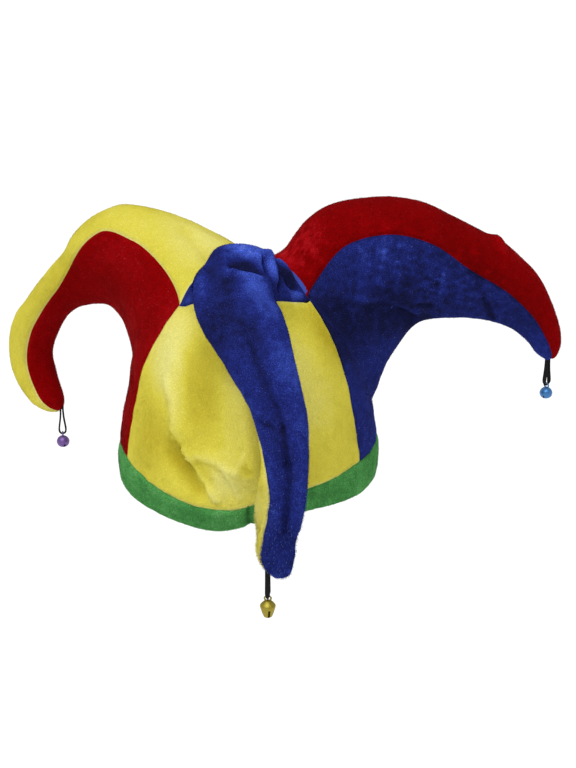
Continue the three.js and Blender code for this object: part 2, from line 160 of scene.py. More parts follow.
# Horns: each section row holds the ridge's distance out and height up, the keel's, the half width,
# the share of the depth at which the strip ends, and the sway of ridge and keel
Horn = namedtuple("Horn", "azimuth start end armpit blend sections")
HORNS = {
    "front": Horn(8, "front_left", "front_right", 114, 0.2, (
        (6, 153, 70, 114, 34, 0.7, 0, 0),
        (28, 166, 78, 120, 28, 0.6, -6, -6),
        (57, 176, 86, 119, 26, 0.62, -8, -8),
        (92, 157, 94, 108, 26, 0.65, -10.5, 3),
        (118, 132, 101, 90, 21, 0.55, 4.5, 8),
        (135, 102, 106, 70, 16, 0.56, 18, 14),
        (143, 71, 111, 49, 13, 0.4, 25, 12),
        (146, 40, 115, 27, 11, 0.27, 27, 6),
        (144, 10, 118, 4, 10.5, 0.3, 21.5, 7.2),
        (137, -22, 124, -15, 11, 0.4, 19, 8),
    )),
    "left": Horn(-112, "back_left", "front_left", 62, 0.2, (
        (8, 153, 84, 62, 40, 0.2, 0, 0),
        (37, 167, 88, 74, 37, 0.15, 0, 0),
        (69, 174, 97, 93, 30, 0.16, 0, 0),
        (101, 176, 108, 102, 25, 0.18, 0, 0),
        (127, 162, 122, 102, 22, 0.36, 0, 0),
        (147, 137, 138, 97, 19, 0.54, 0, 0),
        (169, 112, 150, 87, 17, 0.6, 0, 0),
        (189, 86, 160, 70, 16, 0.62, 0, 0),
        (196.5, 55, 164, 52, 15.5, 0.62, 0, 0),
        (185, 27, 160, 33, 14, 0.6, 0, 0),
        (165, 10, 153, 18, 11, 0.55, 0, 0),
    )),
    "right": Horn(116, "front_right", "back_right", 36, 0.14, (
        (8, 147, 89, 36, 36, 0.2, 0, 0),
        (26, 151, 95, 48, 33, 0.14, 0, 0),
        (52, 178.5, 102, 66, 31, 0.15, 0, 0),
        (90, 185, 115, 84, 27, 0.19, 0, 0),
        (125, 180, 131, 93, 24, 0.29, 0, 0),
        (158, 163, 152, 93, 21, 0.42, 0, 0),
        (192, 143, 178, 89, 19, 0.53, 0, 0),
        (219, 117, 200, 79, 17, 0.62, 0, 0),
        (234, 84, 215, 66, 15, 0.65, 0, 0),
        (239, 54, 226, 50, 11, 0.6, 0, 0),
    )),
}

# Folds of the cloth: from, to, reach to each side, height, where less than nothing is a valley
FOLDS = (
    ((-25, -44, 164), (-19, -68, 166), 9, -5),
    ((23, -60, 167), (30, -75, 148), 8, -5),
    ((-1, -65, 171), (16, -64, 167), 8, -4),
    ((16, -111, 138), (34, -131, 93), 7, -2),
    ((34, -131, 93), (42, -139, 60), 7, -2.5),
    ((42, -139, 60), (41, -140, 10), 6, -2.5),
    ((-38, -72, 98), (-34, -84, 62), 9, 3),
    ((-24, -76, 104), (-22, -86, 74), 11, -3),
    ((-36, -87, 44), (-20, -95, 30), 9, -4.5),
    ((-24, -91, 44), (4, -98, 37), 8, 2.5),
    ((14, -95, 40), (10, -86, 90), 10, 7),
    ((88, 10, 121), (116, 47, 97), 9, -3),
    ((-138, 35, 133), (-131, 30, 129), 12, -2.5),
    ((169, 75, 146), (174, 71, 141), 9, 2),
)

# In the same columns, the yellow panel's swelling where it leans on the front horn, and the front
# tip, fuller below and slimmer at its right
SWELLS = (
    ((14, -101, 44), (8, -93, 86), 9, 4),
    ((35, -131, -25), (43, -132, -22), 7, 3.4),
    ((48, -130, 4), (47, -130, -6), 6, -1.4),
)

# Fine creases on top of them: route, reach to each side, height
CREASES = (
    # Front hump: its three crests, the hollow between them, the roll and the lobe at its right
    (((0, -78, 165), (4, -79, 164), (10, -79, 162), (17, -78, 160)), 1.6, 2.6),
    (((0, -72.5, 167), (8, -72, 165), (16, -70.5, 162.5)), 3.6, -4),
    (((-7, -58, 171), (-6, -65, 170), (-4, -74, 166.5), (-2, -83, 163)), 1.5, 2),
    (((-14, -58, 170), (-12, -82, 162)), 4, -1),
    (((14, -56, 170), (16.5, -63, 165.5), (18, -68, 163)), 1.5, 2.2),
    (((17, -53, 169), (21, -64, 161)), 1.6, -2.2),
    (((19, -47, 168), (22, -54, 164), (25, -62, 156)), 3, 3.2),
    (((26, -40, 158), (29, -56, 149)), 3, -3.5),
    (((-19, -72, 163), (-16, -92, 153)), 3, 1.4),
    (((22, -21, 155), (30, -26, 152), (37, -31, 146)), 2.8, 4),
    (((26, -34, 154), (33, -34, 148)), 5.5, -6),
    (((31, -50, 147), (41, -36, 139)), 3.2, 2),
    # Front horn: the line down its groove, the roll beside it and the pinch across its bend
    (((16, -117, 134), (22, -123, 120), (32, -130, 97), (38, -134, 83)), 2.2, -1.3),
    (((38, -134, 83), (43, -138, 52), (40, -138, 16)), 2.2, -1.6),
    (((42, -128, 90), (49, -133, 52), (47, -134, 18)), 4, 1.4),
    (((21, -129, 85), (32, -134, 82)), 2.2, -1.8),
    # Yellow crown panel: the soft ridge, the sharp diagonal with the hollow beside it, the arc and
    # its branch, and the dimple by the horn
    (((-44, -73, 89), (-39, -80, 78), (-36, -85, 59), (-31, -88, 47)), 4.5, 2),
    (((-31, -88, 47), (-25, -92, 39), (-20, -94, 30), (-13, -98, 22), (-9, -99, 17)), 2.2, 2.4),
    (((-35, -87, 40), (-28, -91, 32), (-20, -94, 24)), 5, -2.6),
    (((-27, -90, 43), (-19, -94, 45), (-11, -97, 44), (-5, -99, 41), (4, -102, 38)), 1.8, 1.6),
    (((-20, -94, 41), (-10, -98, 38)), 3.5, -1.2),
    (((-5, -99, 41), (1, -101, 32), (7, -101, 20)), 1.8, 1.2),
    (((5, -102, 38), (10, -103, 52)), 2.4, 1.2),
    (((11, -103, 41), (12, -103, 40)), 3, -3),
    # Blue panel under the right horn, the red strip's top and the yellow strip at the left
    (((74, 0, 126), (85, 11, 121), (98, 24, 115), (106, 33, 110), (113, 43, 104)), 3, 2.2),
    (((80, 8, 117), (96, 26, 109), (110, 45, 98)), 4.5, -1.8),
    (((87, 13, 119.5), (95, 22, 114.5), (104, 33, 108), (111, 44, 101)), 1.6, -2),
    (((114, 38, 111), (122, 44, 108)), 1.6, -1.6),
    (((159, 60, 109), (163, 67, 99), (166, 76, 89)), 2.4, -2.4),
    (((166, 76, 149), (170, 68, 146)), 4, 1.8),
    (((172, 77, 145), (176, 70, 141)), 3, -1.2),
    (((-44, 10, 166), (-12, -30, 160)), 6, -1.5),
)

# How pale the pile is from 0 to 1: as woven, then for each millimetre of a fold's height a painted
# highlight on ridges and painted shade in valleys, and the heights that count, and the band's gain on
# its lumps and groove; then where light and shade are painted on, and where it is mottled by crushed
# pile and
# painted sheen specks: place, reach, change
WOVEN_PALENESS = 0.42
LIFT_SHADING = 0.11
LIFT_MOST = 4
FOLD_LIFTS = (-1.5, 1)
BAND_LIFT_GAIN = 3
LIT_AND_SHADED_SPOTS = (
    # Right horn and the red strip's root: painted light and shade on the horn, a painted shadow beside
    # the front horn and a painted sheen highlight at the root
    ((98, 6, 150), 26, 0.3),
    ((130, 36, 128), 20, 0.15),
    ((110, 20, 120), 70, -0.32),
    ((60, -30, 110), 26, -0.55),
    ((34, 8, 162), 16, 0.6),
    # Front hump: painted highlight on its top, its faces and the line down its left, painted shade in
    # the hollow and below it, and painted highlight and shade on the lobe
    ((6, -52, 173), 11, 1.2),
    ((9, -71, 166), 5.5, -0.8),
    ((1, -73, 166), 4, -0.5),
    ((-7, -57, 171), 2.6, 0.4),
    ((-6, -63, 170), 2.6, 0.4),
    ((-5, -69, 168), 2.6, 0.45),
    ((-4, -75, 166), 2.6, 0.45),
    ((-2.5, -81, 164), 2.6, 0.4),
    ((-14, -66, 166), 7, 0.2),
    ((-1, -86, 160), 8, -0.4),
    ((12, -84, 157), 11, 0.4),
    ((23, -58, 163), 5, 0.5),
    ((38, -40, 139), 7, 0.5),
    ((30, -33, 150), 8, -0.9),
    # Yellow strip at the left, made paler; then the front strip, with painted shade on its left half
    # and painted highlight on its right
    ((-32, 4, 166), 26, 0.4),
    ((-8, -104, 132), 18, -0.2),
    ((2, -96, 140), 22, -0.25),
    ((24, -96, 146), 13, 0.25),
    ((36, -118, 118), 18, 0.15),
    # Yellow panel, with painted shade in its valley and low at its left, painted highlight on its
    # ridges, below the arc and at its right, then a painted highlight on the front horn's flank, and
    # the blue panel's tip made darker
    ((-18, -82, 92), 24, -0.15),
    ((-54, -68, 52), 24, -0.25),
    ((-42, -62, 114), 20, 0.5),
    ((-46, -68, 92), 14, 0.35),
    ((-8, -99, 28), 14, 0.35),
    ((42, -84, 90), 34, 0.4),
    ((18, -121, 20), 15, 0.6),
    ((178, 80, 95), 22, -0.2),
)
MOTTLED = (
    # Crushed pile on the right horn, and painted sheen specks at the red strip's root
    ((98, 6, 150), 26, 0.2),
    ((130, 36, 128), 24, 0.18),
    ((160, 60, 115), 26, 0.12),
    ((34, 8, 162), 18, 0.35),
)

# Pile: fibres per square millimetre, their length, its spread and their width, how deep they start,
# how far they lean, are tousled and twisted, how their paleness varies, the share of them that glints
# with a painted highlight and by how much, how their shading follows cloth and fibre, and a blade's
# corners in its cell of the texture; then the place where they stand out longest, its reach and their
# gain there
PILE_DENSITY = 2.7
PILE_LENGTH = 1.0
PILE_SPREAD = (0.65, 1.25)
PILE_WIDTH = 0.2
PILE_SUNK = 0.25
PILE_LEAN = 0.7
PILE_TOUSLE = 0.28
PILE_TWIST = 0.3
PILE_UNEVEN = 0.12
PILE_GLINTS = 0.1
GLINT_GAINS = (0.4, 1.0)
SHADE_OF_CLOTH = 0.8
SHADE_OF_FIBRE = 0.5
BLADE_SPOT = ((0.15, 0.15), (0.85, 0.15), (0.5, 0.85))
SHAGGY = (24, -138, 0)
SHAGGY_REACH = 45
SHAGGY_GAIN = 1.5

# Cord loops: half of a loop's route, as half width and share of the drop, the flat cord, which is
# drawn together near the bell's eye, and each loop's top and the turn of its plane
LOOP_DROP = 18.5
LOOP_ROUTE = (
    (0.9, 0),
    (1.0, 0.15),
    (1.2, 0.29),
    (1.6, 0.47),
    (2.1, 0.65),
    (2.4, 0.8),
    (2.15, 0.92),
    (1.25, 0.982),
    (0, 1),
)
CORD_WIDTH = 3.4
CORD_AT_EYE = 1.4
CORD_DRAWN = 1.8
CORD_THICK = 1.3
CORD_SQUARE = 0.6
CORD_TUCK = 2.5
CORD_STEPS = 96
CORD_SIDES = 14
Loop = namedtuple("Loop", "top turn")
LOOPS = {
    "front": Loop((27.64, -125.93, -18.4), 92),
    "left": Loop((-145.75, 58.89, 14.95), 10),
    "right": Loop((207.22, 101.07, 51.25), 45),
}

# Bells: half sections of the shells from top to bottom, as radius and height, then how each hangs
# below its loop, its wall, its crossed slots and its wire eye
PEAR_SHELL = (
    (0, 5.3),
    (1.2, 5.2),
    (2.0, 4.8),
    (3.1, 4.0),
    (4.3, 2.8),
    (4.95, 1.9),
    (5.1, 1.3),
    (5.0, 0.6),
    (4.6, -0.9),
    (4.0, -2.9),
    (3.3, -4.9),
    (2.8, -6.0),
    (2.1, -6.5),
    (1.0, -6.6),
    (0, -6.6),
)
ROUND_SHELL = (
    (0, 5.3),
    (0.8, 5.25),
    (1.4, 4.85),
    (2.6, 4.3),
    (3.7, 3.3),
    (4.4, 2.1),
    (4.7, 1.0),
    (4.7, 0.6),
    (4.55, -0.5),
    (4.0, -1.8),
    (3.0, -2.8),
    (1.8, -3.35),
    (0, -3.5),
)
BELL_DROP = 6.85
BELL_WALL = 0.5
BELL_STEPS = 64
BELL_SHARP = 35
ROD_STEPS = 20
SLOT_TURN = 17
SLOT_WIDTH = 1.4
SLOT_TOP = -1.2
SLOT_HOLE = 0.85
EYE_HEIGHT = 6.55
EYE_RADIUS = 1.65
EYE_BREADTH = 1.3
EYE_WIRE = 0.45
EYE_STEPS = (32, 12)

# Velours: slot, colour of the painted shade deep in the folds, as woven, of the painted highlight on
# ridges and of a fibre's painted glint, then how much each is crushed and grained, and how much paler
# it is beside its seams
Dress = namedtuple("Dress", "slot deep middle pale glint crush grain seam")
VELOURS = {
    "yellow": Dress("yellow_velour", "#ae9e28", "#cec346", "#dcd680", "#e8e3a0", 0.1, 0.22, 0.4),
    "red": Dress("red_velour", "#600000", "#7d0002", "#9c0a12", "#c84852", 0.2, 0.6, 0.1),
    "blue": Dress("blue_velour", "#141638", "#1f2972", "#3d54b8", "#8494d8", 0.25, 1.0, -0.15),
    "green": Dress("green_velour", "#2c5f2e", "#458845", "#6ba566", "#a2cc9a", 0.3, 0.9, 0),
}
GOLD = "#9e9038"
PURPLE = "#6e5290"
SKY_BLUE = "#4078b2"
CORD_BLACK = "#0d0d0f"

# Materials: where a ramp of paleness reaches its woven and pale colours, the grain's stops and the
# blade's, which paint shade at its root and a highlight at its tip, as place and grey, and how fine
# each noise is
WOVEN_STOP = 0.45
PALE_STOP = 0.7
GRAIN_STOPS = ((0.35, 0.62), (0.53, 1), (0.7, 1.9))
BLADE_SHADE_STOPS = ((0, 0.85), (1, 1.2))
CRUSH_SCALE = 190
GRAIN_SCALE = 1500
KNIT_SCALE = 900
CLOUD_SCALE = 40
DENT_SCALE = 420
POLISH_SCALE = 900
WEAVE_SCALE = 2600

# Panels and strips: the colour each wears, and the flat piece it was cut from, in metres
Cut = namedtuple("Cut", "colour width length area")
CUTS = {
    "crown_front": Cut("yellow", 0.22, 0.36, 0.0287),
    "strip_front": Cut("blue", 0.13, 0.26, 0.0153),
    "crown_left": Cut("red", 0.21, 0.33, 0.0312),
    "strip_left": Cut("yellow", 0.14, 0.3, 0.0179),
    "crown_right": Cut("blue", 0.21, 0.36, 0.0354),
    "strip_right": Cut("red", 0.14, 0.33, 0.0196),
}


# Small helpers
UP = np.array([0, 0, 1])


def linear(colour, gain=1.0):
    """Linear colour of a hex code, made lighter or darker by gain."""
    shares = [int(colour[at:at + 2], 16) / 255 for at in (1, 3, 5)]
    return [gain * (c / 12.92 if c < 0.04045 else ((c + 0.055) / 1.055) ** 2.4) for c in shares] + [1]


def grey(value):
    return [value, value, value, 1]


def lerp(a, b, share):
    return a + (b - a) * share


def smoothstep(value, high):
    share = np.clip(value / high, 0, 1)
    return share * share * (3 - 2 * share)


def curve(values, at):
    """A smooth curve through rows of values, read at row numbers."""
    values = np.asarray(values, float)
    last = len(values) - 1
    at = np.asarray(at, float)
    index = np.clip(np.floor(at).astype(int), 0, last - 1)
    wide = index.reshape(index.shape + (1,) * (values.ndim - 1))
    t = (at - index).reshape(wide.shape)
    b, c = values[index], values[index + 1]
    a = np.where(wide > 0, values[np.maximum(index - 1, 0)], 2 * b - c)
    d = np.where(wide + 2 <= last, values[np.minimum(index + 2, last)], 2 * c - b)
    first, second = (c - a) / 2, (d - b) / 2
    bend = 3 * (c - b) - 2 * first - second
    return b + t * (first + t * (bend + t * (2 * (b - c) + first + second)))


def look_up(table, at):
    """Smooth values of a table whose first column is the key."""
    table = np.array(table, float)
    return curve(table[:, 1:], np.interp(at, table[:, 0], np.arange(len(table))))


def ends_close(count):
    """Shares from 0 to 1 that lie closer together towards both ends."""
    share = np.linspace(0, 1, count + 1)
    return share - END_CROWDING * np.sin(2 * np.pi * share) / (2 * np.pi)


def lumps(points, kind):
    """Smooth noise with bumps of that kind's size and about its height up and down."""
    rng = np.random.default_rng(kind.seed)
    waves = rng.normal(size=(LUMP_WAVES, 3)) * LUMP_SPREAD / kind.size
    phases = rng.uniform(0, 2 * np.pi, len(waves))
    return kind.height * (np.sin(points @ waves.T + phases).sum(-1) / math.sqrt(len(waves)))


def near(points, place, reach):
    """From 1 at a place down to nothing well beyond its reach."""
    return np.exp(-((np.linalg.norm(points - np.array(place, float), axis=-1) / reach) ** 2))


def unit(vectors):
    return vectors / (np.linalg.norm(vectors, axis=-1, keepdims=True) + 1e-12)


# Crown and horn surfaces, in millimetres
def crown_point(azimuth, height):
    share = look_up(CROWN, height)[..., 0]
    angle = np.radians(azimuth)
    x = RIM_HALF_WIDTH * share * np.sin(angle)
    y = -RIM_HALF_DEPTH * share * np.cos(angle)
    return np.stack(np.broadcast_arrays(x, y, height), -1)


def fold_line(horn, u):
    """Azimuth and height of the line where the crown turns into the horn."""
    start, end = SEAMS[horn.start], SEAMS[horn.end]
    azimuth = lerp(horn.azimuth, np.where(u < 0, start.top, end.top), abs(u))
    height = lerp(horn.armpit, np.where(u < 0, start.height, end.height), abs(u) ** FOLD_CURVE)
    return azimuth, height


def crown_panel(horn, u, climb):
    foot = lerp(SEAMS[horn.start].foot, SEAMS[horn.end].foot, (u + 1) / 2)
    top_azimuth, top_height = fold_line(horn, u)
    climb = climb[:, None]
    azimuth = lerp(foot, top_azimuth, climb ** SEAM_CURVE)
    return crown_point(azimuth, lerp(look_up(RIM, foot)[..., 1], top_height, climb))


Section = namedtuple("Section", "ridge keel aside half seam_angle")


def horn_section(horn, along):
    columns = curve(horn.sections, along * (len(horn.sections) - 1))
    out, up, keel_out, keel_up, half, seam, sway, keel_sway = columns.T[..., None]
    angle = math.radians(horn.azimuth)
    outward = np.array([math.sin(angle), -math.cos(angle), 0])
    aside = np.array([math.cos(angle), math.sin(angle), 0])
    past = np.clip(along - 1 + TIP_ROUND, 0, None)[:, None] / TIP_ROUND
    tip_round = np.maximum(np.sqrt(np.clip(1 - past ** 2, 0, 1)), TIP_CLOSED)
    ridge = out * outward + up * UP + sway * aside
    keel = keel_out * outward + keel_up * UP + keel_sway * aside
    middle = (ridge + keel) / 2
    ridge = lerp(middle, ridge, tip_round)
    keel = lerp(middle, keel, tip_round)
    return Section(ridge, keel, aside, half * tip_round, np.arccos(1 - 2 * seam))


def egg_points(section, angles):
    depth = (1 - np.cos(angles)) / 2
    side = section.half * np.sin(angles) * (1 + SECTION_EGG * np.cos(angles))
    line = lerp(section.ridge[:, None], section.keel[:, None], depth[..., None])
    return line + side[..., None] * section.aside


def strip_root(horn, u):
    seams = SEAMS[horn.start], SEAMS[horn.end]
    corners = [crown_point(seam.top, np.array(seam.height, float)) for seam in seams]
    corner = np.where(u[:, None] < 0, corners[0], corners[1])
    flat = np.where(u < 0, seams[0].flat, seams[1].flat)
    root = corner * abs(u)[:, None]
    root[:, 2] = lerp(APEX_HEIGHT, corner[:, 2], abs(u) ** flat)
    return root


def strip_surface(horn, along, u):
    section = horn_section(horn, along)
    points = egg_points(section, u * section.seam_angle)
    return lerp(strip_root(horn, u), points, smoothstep(along, horn.blend)[:, None, None])


def horn_panel(horn, along, u):
    section = horn_section(horn, along)
    angles = np.where(u < 0, -1, 1) * lerp(np.pi, section.seam_angle, abs(u))
    points = egg_points(section, angles)
    root = crown_point(*fold_line(horn, u))
    return lerp(root, points, smoothstep(along, horn.blend)[:, None, None])


# Cloth grids: rows run from the rim or the apex to the tip, columns across the piece
def horn_rows(horn):
    """Shares along the horn that space the rows evenly over the cloth, closer at both ends."""
    fine = np.linspace(0, 1, ROW_SAMPLES)
    u = np.linspace(-1, 1, ROW_LINES)
    lines = np.concatenate([strip_surface(horn, fine, u), horn_panel(horn, fine, u)], 1)
    steps = np.linalg.norm(np.diff(lines, axis=0), axis=2).mean(1)
    reached = np.concatenate([[0], np.cumsum(steps)]) / steps.sum()
    return np.interp(ends_close(HORN_ROWS), reached, fine)


def ease_bend(points, u):
    """Rounds the bend between crown and horn, and leaves the sewn edges where they are."""
    rows = np.arange(len(points))[:, None, None]
    held = (1 - u ** BEND_HOLD)[None, :, None]
    pull = BEND_PULL * held * np.exp(-(((rows - CROWN_ROWS) / BEND_ROWS) ** 2))
    for _ in range(BEND_PASSES):
        points[1:-1] += pull[1:-1] * ((points[:-2] + points[2:]) / 2 - points[1:-1])
    return points


def panel_grid(horn):
    u = 2 * ends_close(PANEL_COLUMNS) - 1
    crown = crown_panel(horn, u, ends_close(CROWN_ROWS))
    sides = horn_panel(horn, horn_rows(horn), u)
    return ease_bend(np.concatenate([crown, sides[1:]]), u)


def strip_grid(horn):
    return strip_surface(horn, horn_rows(horn), 2 * ends_close(STRIP_COLUMNS) - 1)


def root_gap(points):
    """Distance along the cloth from its first row."""
    along = np.cumsum(np.linalg.norm(np.diff(points, axis=0), axis=2), axis=0)
    return np.pad(along, ((1, 0), (0, 0)))


def edge_gap(points):
    """Distance along the cloth to its nearest sewn edge."""
    across = np.cumsum(np.linalg.norm(np.diff(points, axis=1), axis=2), axis=1)
    across = np.pad(across, ((0, 0), (1, 0)))
    return np.minimum(np.minimum(across, across[:, -1:] - across), root_gap(points))


def shared_normals(grids):
    """Outward normals of all the grids, the same on both sides of each seam."""
    facing = []
    for name, points in grids.items():
        normal = np.cross(np.gradient(points, axis=1), np.gradient(points, axis=0))
        facing.append((normal if name.startswith("crown") else -normal).reshape(-1, 3))
    places = np.concatenate([points.reshape(-1, 3) for points in grids.values()])
    group = np.unique(np.round(places * MATCHES_PER_MM), axis=0, return_inverse=True)[1].ravel()
    total = np.zeros((group.max() + 1, 3))
    np.add.at(total, group, np.concatenate(facing))
    spread = np.split(unit(total)[group], np.cumsum([len(f) for f in facing])[:-1])
    return {name: n.reshape(grids[name].shape) for name, n in zip(grids, spread)}


def line_gaps(points, normals, start, end):
    """Distances from the line between two places, along the cloth and square to it."""
    start = np.array(start, float)
    line = np.array(end, float) - start
    share = np.clip((points - start) @ line / (line @ line), 0, 1)
    gap = points - start - share[..., None] * line
    over = (gap * normals).sum(-1)
    return np.sqrt(np.maximum((gap ** 2).sum(-1) - over ** 2, 0)), over


def fold_shift(points, normals, folds):
    """Height of the folds, which fade where the piece starts at its band or apex seam."""
    shift = np.zeros(points.shape[:-1])
    for route, reach, height in folds:
        rise = np.zeros(points.shape[:-1])
        for start, end in zip(route, route[1:]):
            along, over = line_gaps(points, normals, start, end)
            rise = np.maximum(rise, np.exp(-((along / reach) ** 2) - (over / FOLD_DEPTH) ** 2))
        shift += height * rise
    return shift * smoothstep(root_gap(points), ROOT_FADE)


def fold_shifts(grids, folds):
    normals = shared_normals(grids)
    return {name: fold_shift(points, normals[name], folds) for name, points in grids.items()}


def moved(grids, shifts):
    """The grids, pushed along their normals."""
    normals = shared_normals(grids)
    return {name: points + normals[name] * shifts[name][..., None] for name, points in grids.items()}


def sewn_shift(points):
    """How the cloth is drawn in at its seams, with puckers beside them, and its small lumps."""
    gap = edge_gap(points)
    puckers = lumps(points, PUCKERS) * np.exp(-((gap / PUCKER_REACH) ** 2))
    uneven = lumps(points, CLOTH_BROAD) + lumps(points, CLOTH_FINE)
    return puckers + uneven - SEAM_DEPTH * np.exp(-((gap / SEAM_REACH) ** 2))


def paleness(points, lift):
    """From 0 to 1, how pale the pile is: painted light and shade on its folds and at spots, with broad
    patches.
    """
    lift = np.clip(lift, -LIFT_MOST, LIFT_MOST)
    pale = WOVEN_PALENESS + LIFT_SHADING * lift + lumps(points, WEAR_CLOUDS)
    for place, reach, change in LIT_AND_SHADED_SPOTS:
        pale += change * near(points, place, reach)
    for place, reach, change in MOTTLED:
        pale += change * near(points, place, reach) * lumps(points, WEAR_MOTTLES)
    return np.clip(pale, 0, 1)


grids = {}
for side, horn in HORNS.items():
    grids[f"crown_{side}"] = panel_grid(horn)
    grids[f"strip_{side}"] = strip_grid(horn)
straight = [((start, end), reach, height) for start, end, reach, height in FOLDS + SWELLS]
folded = fold_shifts(grids, straight)
grids = moved(grids, folded)
creased = fold_shifts(grids, CREASES)
grids = moved(grids, creased)
grids = moved(grids, {name: sewn_shift(points) for name, points in grids.items()})
cloth_normals = shared_normals(grids)
cloth_wear_and_shading = {}
for name, points in grids.items():
    # Folds and creases paint a highlight on ridges and shade in valleys into the paleness
    lift = np.clip(folded[name], *FOLD_LIFTS) + creased[name]
    beside_seam = np.exp(-((edge_gap(points) / SEAM_REACH) ** 2))
    cloth_wear_and_shading[name] = paleness(points, lift) + VELOURS[CUTS[name].colour].seam * beside_seam


# Meshes
def grid_quads(rows, columns):
    index = np.arange(rows * columns).reshape(rows, columns)
    corners = index[:-1, :-1], index[:-1, 1:], index[1:, 1:], index[1:, :-1]
    return np.stack(corners, -1).reshape(-1, 4)


def border_ring(rows, columns):
    index = np.arange(rows * columns).reshape(rows, columns)
    sides = index[0, :-1], index[:-1, -1], index[-1, :0:-1], index[:0:-1, 0]
    return np.concatenate(sides)


def add_object(name, data):
    thing = bpy.data.objects.new(name, data)
    bpy.context.scene.collection.objects.link(thing)
    return thing


def add_piece(name, points, faces, materials, wear_and_shading=None):
    """A smooth mesh in the frame from points in millimetres."""
    mesh = bpy.data.meshes.new(name)
    mesh.from_pydata((np.asarray(points) * MM).tolist(), [], [list(face) for face in faces])
    for material in materials:
        mesh.materials.append(material)
    if wear_and_shading is not None:
        values = mesh.attributes.new("wear_and_shading", "FLOAT", "POINT")
        values.data.foreach_set("value", np.asarray(wear_and_shading, np.float32))
    mesh.shade_smooth()
    mesh.update()
    return add_object(name, mesh)


def inner_side(points, normals):
    """The inside of a panel or strip, a wall's thickness under its face and thinner at the tip."""
    rows = len(points)
    wall = CLOTH_WALL * np.clip(np.arange(rows, 0, -1) / TIP_THIN_ROWS, TIP_THINNEST, 1)
    return points - normals * wall[:, None, None]


def face_piece(name, points, inner, wear_and_shading, material, turned):
    """The outside of a panel or strip with its cut edge."""
    rows, columns = points.shape[:2]
    ring = border_ring(rows, columns)
    edge = np.arange(len(ring)) + rows * columns
    wall = np.stack([edge, np.roll(edge, -1), np.roll(ring, -1), ring], -1)
    quads = np.concatenate([grid_quads(rows, columns), wall])
    places = np.concatenate([points.reshape(-1, 3), inner.reshape(-1, 3)[ring]])
    shades = np.concatenate([wear_and_shading.ravel(), wear_and_shading.ravel()[ring]])
    return add_piece(name, places, quads[:, ::-1] if turned else quads, [material], wear_and_shading=shades)


def back_piece(name, inner, material, turned):
    back = inner[::BACK_STEP, ::BACK_STEP]
    quads = grid_quads(*back.shape[:2])
    return add_piece(name, back.reshape(-1, 3), quads if turned else quads[:, ::-1], [material])


# Materials
def new_material(name):
    material = bpy.data.materials.new(name)
    material.use_nodes = True
    tree = material.node_tree
    return material, tree, tree.nodes["Principled BSDF"]


def feed(tree, value, socket):
    """Links a socket's value, or sets a constant."""
    if isinstance(value, bpy.types.NodeSocket):
        tree.links.new(value, socket)
    else:
        socket.default_value = value


def noise_node(tree, scale, detail=2, distortion=0.0):
    place = tree.nodes.get("Place") or tree.nodes.new("ShaderNodeTexCoord")
    place.name = "Place"
    node = tree.nodes.new("ShaderNodeTexNoise")
    node.inputs["Scale"].default_value = scale
    node.inputs["Detail"].default_value = detail
    node.inputs["Distortion"].default_value = distortion
    tree.links.new(place.outputs["Object"], node.inputs["Vector"])
    return node.outputs["Fac"]


def attribute_node(tree, name):
    node = tree.nodes.new("ShaderNodeAttribute")
    node.attribute_name = name
    return node.outputs["Fac"]


def math_node(tree, operation, first, second):
    node = tree.nodes.new("ShaderNodeMath")
    node.operation = operation
    feed(tree, first, node.inputs[0])
    feed(tree, second, node.inputs[1])
    return node.outputs[0]


def ramp_node(tree, factor, stops):
    """A colour ramp; stops are (place, colour)."""
    node = tree.nodes.new("ShaderNodeValToRGB")
    elements = node.color_ramp.elements
    while len(elements) < len(stops):
        elements.new(1)
    for element, (place, colour) in zip(elements, stops):
        element.position = place
        element.color = colour
    tree.links.new(factor, node.inputs["Fac"])
    return node.outputs["Color"]


def multiply_node(tree, factor, first, second):
    node = tree.nodes.new("ShaderNodeMix")
    node.data_type = "RGBA"
    node.blend_type = "MULTIPLY"
    feed(tree, factor, node.inputs[0])
    feed(tree, first, node.inputs[6])
    feed(tree, second, node.inputs[7])
    return node.outputs[2]


def bump_node(tree, height, distance, strength):
    node = tree.nodes.new("ShaderNodeBump")
    node.inputs["Distance"].default_value = distance
    node.inputs["Strength"].default_value = strength
    tree.links.new(height, node.inputs["Height"])
    return node.outputs["Normal"]


